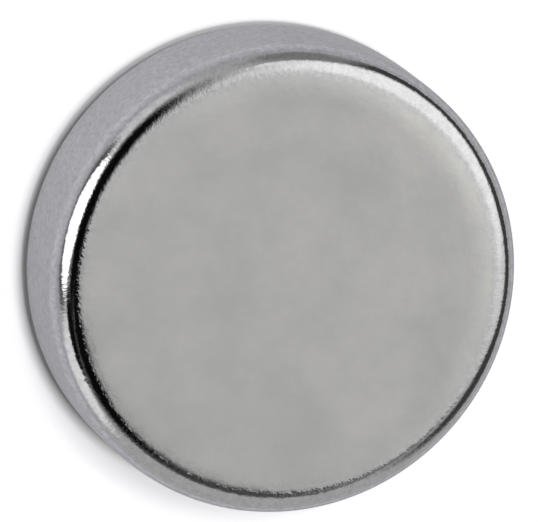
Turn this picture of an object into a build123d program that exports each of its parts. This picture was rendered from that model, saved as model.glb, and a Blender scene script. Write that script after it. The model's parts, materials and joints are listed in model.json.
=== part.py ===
from build123d import *
from math import cos, radians, sin
import os

# Disc magnet: one sintered disc with a nickel skin, lying on a pole face
# +Z is the magnet's axis and the origin is the centre of the lower pole face; lengths are in millimetres

# Driving dimensions
disc_diameter = 10.0  # across the side wall
disc_thickness = 3.0  # from pole face to pole face
edge_radius = 0.55  # corner rounded by tumbling before it is plated
face_roll_width = 0.6  # ring of each pole face that rolls off gently towards its corner
wall_roll_height = 0.4  # band at each end of the side wall that rolls off in the same way
roll_angle = 3.0  # degrees that a face or the wall has turned where the round corner takes over
quarter_turn = 90.0  # degrees from a pole face to the side wall

# Radii that follow from them, with the arcs tangent to one another all the way round the corner
half_thickness = disc_thickness / 2
roll_sine, roll_cosine = sin(radians(roll_angle)), cos(radians(roll_angle))
face_roll_radius = face_roll_width / roll_sine
wall_roll_radius = wall_roll_height / roll_sine
corner_width = edge_radius * (roll_cosine - roll_sine)
wall_roll_depth = wall_roll_radius * (1 - roll_cosine)
flat_radius = disc_diameter / 2 - wall_roll_depth - corner_width - face_roll_width

os.makedirs("parts", exist_ok=True)

# The section is drawn about the disc's mid-height, so that both pole faces come from one outline
mid_height = Plane.XZ.shift_origin((0, 0, half_thickness))

with BuildPart() as disc_magnet:
    with BuildSketch(mid_height) as half_section:
        with BuildLine() as outline:
            pole_face = Line((0, -half_thickness), (flat_radius, -half_thickness))
            face_roll = JernArc(pole_face @ 1, pole_face % 1, face_roll_radius, roll_angle)
            corner = JernArc(face_roll @ 1, face_roll % 1, edge_radius, quarter_turn - 2 * roll_angle)
            wall_roll = JernArc(corner @ 1, corner % 1, wall_roll_radius, roll_angle)
            mirror(about=Plane.XZ)
            wall_foot = wall_roll @ 1
            side_wall = Line(wall_foot, (wall_foot.X, -wall_foot.Y))
            axis_line = Line((0, half_thickness), (0, -half_thickness))
        make_face()
    revolve(axis=Axis.Z)

disc_magnet.part.label = "disc_magnet"
export_step(disc_magnet.part, "parts/disc_magnet.step")
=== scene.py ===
import json
import math

import bmesh
import bpy
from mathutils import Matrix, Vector


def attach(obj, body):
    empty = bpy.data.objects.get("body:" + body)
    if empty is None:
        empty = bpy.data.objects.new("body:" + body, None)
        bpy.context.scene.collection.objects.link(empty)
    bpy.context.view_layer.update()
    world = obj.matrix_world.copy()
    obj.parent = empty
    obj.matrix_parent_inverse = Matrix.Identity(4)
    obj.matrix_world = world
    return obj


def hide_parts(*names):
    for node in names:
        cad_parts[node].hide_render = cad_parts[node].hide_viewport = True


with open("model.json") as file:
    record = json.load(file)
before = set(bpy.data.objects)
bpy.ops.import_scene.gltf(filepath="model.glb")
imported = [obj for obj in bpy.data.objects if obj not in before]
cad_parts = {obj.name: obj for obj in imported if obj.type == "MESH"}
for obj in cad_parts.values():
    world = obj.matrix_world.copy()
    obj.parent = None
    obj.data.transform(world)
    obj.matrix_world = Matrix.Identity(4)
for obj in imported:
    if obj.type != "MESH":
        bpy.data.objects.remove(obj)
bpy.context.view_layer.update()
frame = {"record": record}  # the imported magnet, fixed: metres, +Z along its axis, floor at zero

mm = 0.001  # metres
mounts = {mount["name"]: mount for mount in frame["record"]["mounts"]}
discRadius = mounts["side_wall"]["dims"]["r_mm"] * mm
wallHeight = mounts["side_wall"]["dims"]["length_mm"] * mm
discThickness = mounts["upper_pole_face"]["pos_m"][2]
discMiddle = Vector((0, 0, discThickness / 2))
print("frame loaded: disc", discRadius * 2 / mm, "x", discThickness / mm, "mm")


def hexColour(code):  # sRGB hex to the linear values that shaders take
    channels = [int(code[i:i + 2], 16) / 255 for i in (1, 3, 5)]
    return (*[c / 12.92 if c <= 0.04045 else ((c + 0.055) / 1.055) ** 2.4 for c in channels], 1.0)


def addNode(tree, kind, feeds=None, **settings):  # a socket is linked, anything else is set as the value
    node = tree.nodes.new(kind)
    for name, value in settings.items():
        setattr(node, name, value)
    for socket, value in (feeds or {}).items():
        if isinstance(value, bpy.types.NodeSocket):
            tree.links.new(value, node.inputs[socket])
        else:
            node.inputs[socket].default_value = value
    return node


def newMaterial(name):
    material = bpy.data.materials.new(name)
    material.use_nodes = True
    material.node_tree.nodes.clear()
    return material, material.node_tree


def towards(azimuth, zenith):  # degrees: azimuth anticlockwise from +X, zenith down from +Z
    a, z = math.radians(azimuth), math.radians(zenith)
    return Vector((math.sin(z) * math.cos(a), math.sin(z) * math.sin(a), math.cos(z)))


def newPiece(name, bm, material, smooth):
    mesh = bpy.data.meshes.new(name)
    bm.to_mesh(mesh)
    bm.free()
    mesh.materials.append(material)
    if smooth:
        mesh.shade_smooth()
    else:
        mesh.shade_flat()
    piece = bpy.data.objects.new(name, mesh)
    bpy.context.scene.collection.objects.link(piece)
    return piece


# Nickel plating
# Bright nickel over a sintered disc that was lapped on its faces, ground on its side and tumbled:
# soft-bright faces with a faint cloudy mottle, a mirror-like rim with a ragged inner edge
# and a dull speckled side whose darker tint is part satin grind, part painted shade
plating = {
    "colour": "#CBCAC7",
    "cloudColour": "#BFBFBD",
    "rimColour": "#C9C9C9",
    "rimSpeckColour": "#BCBCBC",
    # side tints: satin grind plus painted shade, darker than the rim to dim the floor the side reflects
    "sideColourAndShade": "#C1C0C5",
    "sideSpeckColourAndShade": "#ACABB0",
    "edgeTint": "#BCBCBC",  # nickel reflects less towards grazing sight
    "faceRoughness": 0.10,
    "rimRoughness": 0.08,
    "sideRoughness": 0.42,
    "rimBlend": (-0.16, 0.02),  # mm from the ring where the corner starts, face to rim
    "sideToneAndShade": (0.46, 0.24),  # mm above the foot of the corner, bright rim to dull side with its painted shade
    "sideGrain": (0.36, 0.20),  # mm above the foot of the corner, mirror to satin
    "cloudSize": 1.8,  # mm, mottle on the faces
    "cloudDetail": 5.0,  # octaves
    "cloudFineness": 0.6,
    "cloudRelief": 0.009,  # mm
    "rippleSpacing": 0.12,  # mm, specks of the rim and the side
    "rippleDetail": 2.0,  # octaves
    "rippleFineness": 0.8,
    "rippleRelief": 0.0068,  # mm
    "rippleRise": (-0.025, 0.055),  # mm from the same ring, smooth to ragged
    "rippleFade": (0.01, 0.15),  # mm from the same ring, ragged to calm
    "rippleCalm": 0.5,  # share of the relief that stays on the outer corner
    "noiseSpan": (0.35, 0.65),  # part of a noise's range that most of it lies in
}


def makePlating(finish, shape):
    material, tree = newMaterial("nickel plating, tumbled")
    spot = addNode(tree, "ShaderNodeTexCoord")
    place = addNode(tree, "ShaderNodeVectorMath", {
        0: spot.outputs["Object"], "Scale": 1 / mm,
    }, operation="SCALE")
    flat = addNode(tree, "ShaderNodeVectorMath", {0: place.outputs[0], 1: (1, 1, 0)}, operation="MULTIPLY")
    out = addNode(tree, "ShaderNodeVectorMath", {0: flat.outputs[0]}, operation="LENGTH")
    up = addNode(tree, "ShaderNodeSeparateXYZ", {0: place.outputs[0]})
    offMiddle = addNode(tree, "ShaderNodeMath", {
        0: up.outputs["Z"], 1: discThickness / 2 / mm,
    }, operation="SUBTRACT")
    climb = addNode(tree, "ShaderNodeMath", {0: offMiddle.outputs[0]}, operation="ABSOLUTE")

    radius = discRadius / mm
    ring = radius - shape["edgeRadius"] / mm  # where the corner starts
    foot = (wallHeight / 2 + shape["wallRoll"]) / mm  # where it ends, from mid-height
    low, high = finish["noiseSpan"]
    onRim = addNode(tree, "ShaderNodeMapRange", {
        "Value": out.outputs["Value"],
        "From Min": ring + finish["rimBlend"][0], "From Max": ring + finish["rimBlend"][1],
    }, interpolation_type="SMOOTHSTEP")
    # side tint from the lower corner down: satin grind and painted shade
    dullAndShaded = addNode(tree, "ShaderNodeMapRange", {
        "Value": climb.outputs[0],
        "From Min": foot + finish["sideToneAndShade"][0], "From Max": foot + finish["sideToneAndShade"][1],
    }, interpolation_type="SMOOTHSTEP")
    satin = addNode(tree, "ShaderNodeMapRange", {
        "Value": climb.outputs[0],
        "From Min": foot + finish["sideGrain"][0], "From Max": foot + finish["sideGrain"][1],
    }, interpolation_type="SMOOTHSTEP")
    ragged = addNode(tree, "ShaderNodeMapRange", {
        "Value": out.outputs["Value"],
        "From Min": ring + finish["rippleRise"][0], "From Max": ring + finish["rippleRise"][1],
    }, interpolation_type="SMOOTHSTEP")
    calm = addNode(tree, "ShaderNodeMapRange", {
        "Value": out.outputs["Value"], "To Min": 1.0, "To Max": finish["rippleCalm"],
        "From Min": ring + finish["rippleFade"][0], "From Max": ring + finish["rippleFade"][1],
    }, interpolation_type="SMOOTHSTEP")

    clouds = addNode(tree, "ShaderNodeTexNoise", {
        "Vector": place.outputs[0], "Scale": 1 / finish["cloudSize"],
        "Detail": finish["cloudDetail"], "Roughness": finish["cloudFineness"],
    })
    ripples = addNode(tree, "ShaderNodeTexNoise", {
        "Vector": place.outputs[0], "Scale": 1 / finish["rippleSpacing"],
        "Detail": finish["rippleDetail"], "Roughness": finish["rippleFineness"],
    })

    rippleShare = addNode(tree, "ShaderNodeMath", {
        0: ragged.outputs[0], 1: calm.outputs[0],
    }, operation="MULTIPLY")
    cloudBump = addNode(tree, "ShaderNodeBump", {
        "Height": clouds.outputs["Fac"], "Distance": finish["cloudRelief"] * mm, "Strength": 1.0,
    })
    rippleBump = addNode(tree, "ShaderNodeBump", {
        "Height": ripples.outputs["Fac"], "Distance": finish["rippleRelief"] * mm,
        "Strength": rippleShare.outputs[0], "Normal": cloudBump.outputs[0],
    })

    rough = addNode(tree, "ShaderNodeMix", {
        0: onRim.outputs[0], 2: finish["faceRoughness"], 3: finish["rimRoughness"],
    }, data_type="FLOAT")
    roughAll = addNode(tree, "ShaderNodeMix", {
        0: satin.outputs[0], 2: rough.outputs[0], 3: finish["sideRoughness"],
    }, data_type="FLOAT")
    cloudShare = addNode(tree, "ShaderNodeMapRange", {
        "Value": clouds.outputs["Fac"], "From Min": low, "From Max": high,
    })
    speckShare = addNode(tree, "ShaderNodeMapRange", {
        "Value": ripples.outputs["Fac"], "From Min": low, "From Max": high,
    })
    tint = addNode(tree, "ShaderNodeMix", {
        0: cloudShare.outputs[0], 6: hexColour(finish["colour"]), 7: hexColour(finish["cloudColour"]),
    }, data_type="RGBA")
    rimTint = addNode(tree, "ShaderNodeMix", {
        0: speckShare.outputs[0],
        6: hexColour(finish["rimColour"]), 7: hexColour(finish["rimSpeckColour"]),
    }, data_type="RGBA")
    topTint = addNode(tree, "ShaderNodeMix", {
        0: onRim.outputs[0], 6: tint.outputs[2], 7: rimTint.outputs[2],
    }, data_type="RGBA")
    # speckled side tint, carrying painted shade as well as the satin grind
    sideTintAndShade = addNode(tree, "ShaderNodeMix", {
        0: speckShare.outputs[0],
        6: hexColour(finish["sideColourAndShade"]), 7: hexColour(finish["sideSpeckColourAndShade"]),
    }, data_type="RGBA")
    tintAll = addNode(tree, "ShaderNodeMix", {
        0: dullAndShaded.outputs[0], 6: topTint.outputs[2], 7: sideTintAndShade.outputs[2],
    }, data_type="RGBA")
    shader = addNode(tree, "ShaderNodeBsdfPrincipled", {
        "Base Color": tintAll.outputs[2], "Metallic": 1.0, "Roughness": roughAll.outputs[0],
        "Specular Tint": hexColour(finish["edgeTint"]), "Normal": rippleBump.outputs[0],
    })
    addNode(tree, "ShaderNodeOutputMaterial", {"Surface": shader.outputs[0]})
    return material


# The disc
disc = {
    "edgeRadius": 0.55 * mm,  # tumbled corner
    "faceRoll": 0.6 * mm,  # ring of a pole face that rolls off towards the corner
    "wallRoll": 0.4 * mm,  # band of the side that does the same
    "rollAngle": 3.0,  # degrees turned where the corner takes over
    "turnSteps": 480,  # around the axis
    "rollSteps": 8,
    "cornerSteps": 26,
    "weld": 1e-8,  # metres between points that are one
}


def makeDisc(shape, material):
    roll = math.radians(shape["rollAngle"])
    edge = shape["edgeRadius"]
    faceArc, wallArc = shape["faceRoll"] / math.sin(roll), shape["wallRoll"] / math.sin(roll)
    halfDisc = discThickness / 2
    towardsFace = Vector((math.sin(roll), 0, -math.cos(roll)))  # ends of the corner, from its middle
    towardsWall = Vector((math.cos(roll), 0, -math.sin(roll)))
    wallMiddle = Vector((discRadius - wallArc, 0, -wallHeight / 2))
    cornerMiddle = wallMiddle + towardsWall * (wallArc - edge)
    faceMiddle = cornerMiddle + towardsFace * (edge - faceArc)

    bm = bmesh.new()  # half of the section, drawn below mid-height
    tip = bm.verts.new((0, 0, -halfDisc))
    tip = bmesh.ops.extrude_vert_indiv(bm, verts=[tip])["verts"][0]
    tip.co.x = faceMiddle.x
    arcs = [
        (faceMiddle, roll, shape["rollSteps"]),
        (cornerMiddle, math.pi / 2 - 2 * roll, shape["cornerSteps"]),
        (wallMiddle, roll, shape["rollSteps"]),
    ]
    for middle, angle, steps in arcs:
        swept = bmesh.ops.spin(bm, geom=[tip], cent=middle, axis=(0, -1, 0), angle=angle, steps=steps)
        tip = swept["geom_last"][0]
    tip = bmesh.ops.extrude_vert_indiv(bm, verts=[tip])["verts"][0]
    tip.co.z = 0

    bmesh.ops.mirror(bm, geom=bm.verts[:] + bm.edges[:], axis="Z", merge_dist=shape["weld"])
    bmesh.ops.spin(
        bm, geom=bm.verts[:] + bm.edges[:], cent=(0, 0, 0), axis=(0, 0, 1),
        angle=math.tau, steps=shape["turnSteps"], use_merge=True,
    )
    bmesh.ops.remove_doubles(bm, verts=bm.verts[:], dist=shape["weld"])  # closes both poles
    bmesh.ops.recalc_face_normals(bm, faces=bm.faces[:])
    bmesh.ops.translate(bm, verts=bm.verts[:], vec=discMiddle)
    return newPiece("plated_disc", bm, material, smooth=True)


plated = makeDisc(disc, makePlating(plating, disc))
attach(plated, "root")
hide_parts("disc_magnet")
print("disc made:", len(plated.data.polygons), "faces")

# Floor
floorSheet = {
    "colour": "#9C9C9D",
    "paintedDimColour": "#7C7C7D",  # painted light: darker paper past the edge of a painted pool of light
    "paintedFalloff": (8 * mm, 16 * mm),  # from the disc's axis, span of the painted falloff of light
    "roughness": 0.9,
    "size": 2.0,
}


def makeFloor(sheet):
    material, tree = newMaterial("matt paper with painted falloff")  # pale, lit to white by the keys, with a painted falloff of light away from the disc
    spot = addNode(tree, "ShaderNodeTexCoord")
    out = addNode(tree, "ShaderNodeVectorMath", {0: spot.outputs["Object"]}, operation="LENGTH")
    # painted pool of light: the paper's colour darkens with distance from the disc
    far = addNode(tree, "ShaderNodeMapRange", {
        "Value": out.outputs["Value"], "From Min": sheet["paintedFalloff"][0], "From Max": sheet["paintedFalloff"][1],
    }, interpolation_type="SMOOTHSTEP")
    shade = addNode(tree, "ShaderNodeMix", {
        0: far.outputs[0], 6: hexColour(sheet["colour"]), 7: hexColour(sheet["paintedDimColour"]),
    }, data_type="RGBA")
    shader = addNode(tree, "ShaderNodeBsdfPrincipled", {
        "Base Color": shade.outputs[2], "Roughness": sheet["roughness"], "Specular IOR Level": 0.0,
    })
    addNode(tree, "ShaderNodeOutputMaterial", {"Surface": shader.outputs[0]})
    bm = bmesh.new()
    bmesh.ops.create_grid(bm, x_segments=1, y_segments=1, size=sheet["size"] / 2)
    return newPiece("floor", bm, material, smooth=False)


makeFloor(floorSheet)
print("floor laid")

# Studio: a grey dome with painted patches, mapped as degrees from overhead, and two keys for the shadow
studio = {
    "grey": 0.58,  # radiance of the bare dome
    "patches": [  # middle as azimuth and zenith, half-sizes and turn on the map, soft share of the edge
        {"at": (133, 65), "half": (25, 25), "turn": 0, "soft": 1.0, "light": 0.90},  # lit wall, upper left
        {"at": (8, 58), "half": (38, 63), "turn": 0, "soft": 0.3, "light": 0.07},  # dark room, right
        {"at": (72, 70), "half": (20, 20), "turn": 0, "soft": 0.8, "light": 0.30},  # dim corner, top
        {"at": (7.4, 24.7), "half": (37.5, 38), "turn": 0, "soft": 0.4, "light": 0.70},  # big light, spill
        {"at": (344, 9), "half": (9.3, 9.3), "turn": 0, "soft": 0.3, "light": 0.75},  # its overhead part
        {"at": (335, 33.3), "half": (12.5, 12.5), "turn": 0, "soft": 0.3, "light": 0.78},  # its lower right
        {"at": (10, 32.1), "half": (21, 32), "turn": 47, "soft": 0.3, "light": 0.94},  # its brighter part
        {"at": (66, 40), "half": (12, 9), "turn": 0, "soft": 0.6, "light": 1.15},  # small light, top
        {"at": (350, 50), "half": (18, 17), "turn": 0, "soft": 0.5, "light": 0.96},  # small light, right
        {"at": (21.2, 39), "half": (26, 30), "turn": 24, "soft": 0.4, "light": 1.12},  # big light, right
        {"at": (25, 45), "half": (25.5, 28), "turn": 24, "soft": 0.5, "light": 1.44},  # its middle
        {"at": (170, 68), "half": (23, 38), "turn": 0, "soft": 0.3, "light": 0.15},  # softbox stand
        {"at": (221, 69), "half": (23, 22), "turn": 0, "soft": 0.7, "light": 1.15},  # fill, lower left
        {"at": (174, 19), "half": (18.6, 41), "turn": 3, "soft": 0.8, "light": 0.004},  # lens card, left
        {"at": (270.3, 29.1), "half": (26, 14.5), "turn": -20, "soft": 0.2, "light": 0.09},  # card, below
        {"at": (308.5, 39.1), "half": (6.5, 9), "turn": -62, "soft": 0.8, "light": 0.28},  # card, right
        {"at": (270, 52), "half": (24, 12), "turn": 0, "soft": 0.8, "light": 0.58},  # grey past the card
        {"at": (256, 22), "half": (14.9, 11), "turn": 24, "soft": 0.25, "light": 0.004},  # card, low left
        {"at": (214, 43.5), "half": (12.5, 10), "turn": -53, "soft": 0.4, "light": 0.004},  # card, far left
        {"at": (171, 59), "half": (22.4, 25), "turn": 0, "soft": 0.14, "light": 2.2},  # softbox, left
    ],
    "keys": [  # azimuth and zenith, degrees across for the softness of the shadow
        {"at": (50, 2.6), "angle": 8, "strength": 5.4},  # overhead, shadow on the left
        {"at": (95, 15), "angle": 12, "strength": 2.6},  # leaning, shadow below
    ],
}


def makeStudio(setup):
    world = bpy.data.worlds.new("studio")
    bpy.context.scene.world = world
    world.use_nodes = True
    tree = world.node_tree
    tree.nodes.clear()
    spot = addNode(tree, "ShaderNodeTexCoord")
    ray = addNode(tree, "ShaderNodeVectorMath", {0: spot.outputs["Generated"]}, operation="NORMALIZE")
    rise = addNode(tree, "ShaderNodeSeparateXYZ", {0: ray.outputs[0]})
    fall = addNode(tree, "ShaderNodeMath", {0: rise.outputs["Z"]}, operation="ARCCOSINE")
    degrees = addNode(tree, "ShaderNodeMath", {0: fall.outputs[0]}, operation="DEGREES")
    level = addNode(tree, "ShaderNodeVectorMath", {0: ray.outputs[0], 1: (1, 1, 0)}, operation="MULTIPLY")
    bearing = addNode(tree, "ShaderNodeVectorMath", {0: level.outputs[0]}, operation="NORMALIZE")
    domeMap = addNode(tree, "ShaderNodeVectorMath", {
        0: bearing.outputs[0], "Scale": degrees.outputs[0],
    }, operation="SCALE")
    light = setup["grey"]
    for patch in setup["patches"]:
        azimuth, zenith = math.radians(patch["at"][0]), patch["at"][1]
        local = addNode(tree, "ShaderNodeMapping", {
            "Vector": domeMap.outputs[0],
            "Location": (zenith * math.cos(azimuth), zenith * math.sin(azimuth), 0),
            "Rotation": (0, 0, math.radians(patch["turn"])), "Scale": (*patch["half"], 1),
        }, vector_type="TEXTURE")
        reach = addNode(tree, "ShaderNodeVectorMath", {0: local.outputs[0]}, operation="LENGTH")
        inside = addNode(tree, "ShaderNodeMapRange", {
            "Value": reach.outputs["Value"],
            "From Min": 1 + patch["soft"] / 2, "From Max": 1 - patch["soft"] / 2,
        }, interpolation_type="SMOOTHSTEP")
        light = addNode(tree, "ShaderNodeMix", {
            0: inside.outputs[0], 2: light, 3: patch["light"],
        }, data_type="FLOAT").outputs[0]
    glow = addNode(tree, "ShaderNodeBackground", {"Color": (1, 1, 1, 1), "Strength": light})
    addNode(tree, "ShaderNodeOutputWorld", {"Surface": glow.outputs[0]})

    for sun in setup["keys"]:
        lamp = bpy.data.lights.new("key", "SUN")
        lamp.energy = sun["strength"]
        lamp.angle = math.radians(sun["angle"])
        key = bpy.data.objects.new("key", lamp)
        key.rotation_euler = towards(*sun["at"]).to_track_quat("Z", "Y").to_euler()
        key.visible_glossy = False
        bpy.context.scene.collection.objects.link(key)


makeStudio(studio)
bpy.context.scene.view_settings.view_transform = "Standard"
print("studio lit")

# Camera
photoView = {
    "tilt": 19.3,  # degrees between the line of sight and the magnet's axis
    "swing": 139.5,  # side that the camera leans to, anticlockwise from the picture's right
    "lens": 720.0,  # mm, long, because the disc shows no perspective
    "framePx": (538, 522),
    "discRadiusPx": 239.6,
    "discMiddlePx": (270.7, 268.2),
    "clip": (0.01, 100),  # shares of the distance
}


def makeCamera(view):
    camera = bpy.data.cameras.new("camera")
    camera.lens = view["lens"]
    width, height = view["framePx"]
    metresPerPx = discRadius / view["discRadiusPx"]
    back = towards(view["swing"], view["tilt"])
    turn = Vector((0, 0, 1)).rotation_difference(back)
    right, up = turn @ Vector((1, 0, 0)), turn @ Vector((0, 1, 0))
    aside = (width / 2 - view["discMiddlePx"][0]) * metresPerPx
    above = (view["discMiddlePx"][1] - height / 2) * metresPerPx
    distance = metresPerPx * width * camera.lens / camera.sensor_width
    eye = bpy.data.objects.new("camera", camera)
    eye.location = discMiddle + right * aside + up * above + back * distance
    eye.rotation_mode = "QUATERNION"
    eye.rotation_quaternion = turn
    camera.clip_start, camera.clip_end = [distance * share for share in view["clip"]]
    bpy.context.scene.collection.objects.link(eye)
    bpy.context.scene.camera = eye


makeCamera(photoView)
print("camera set")
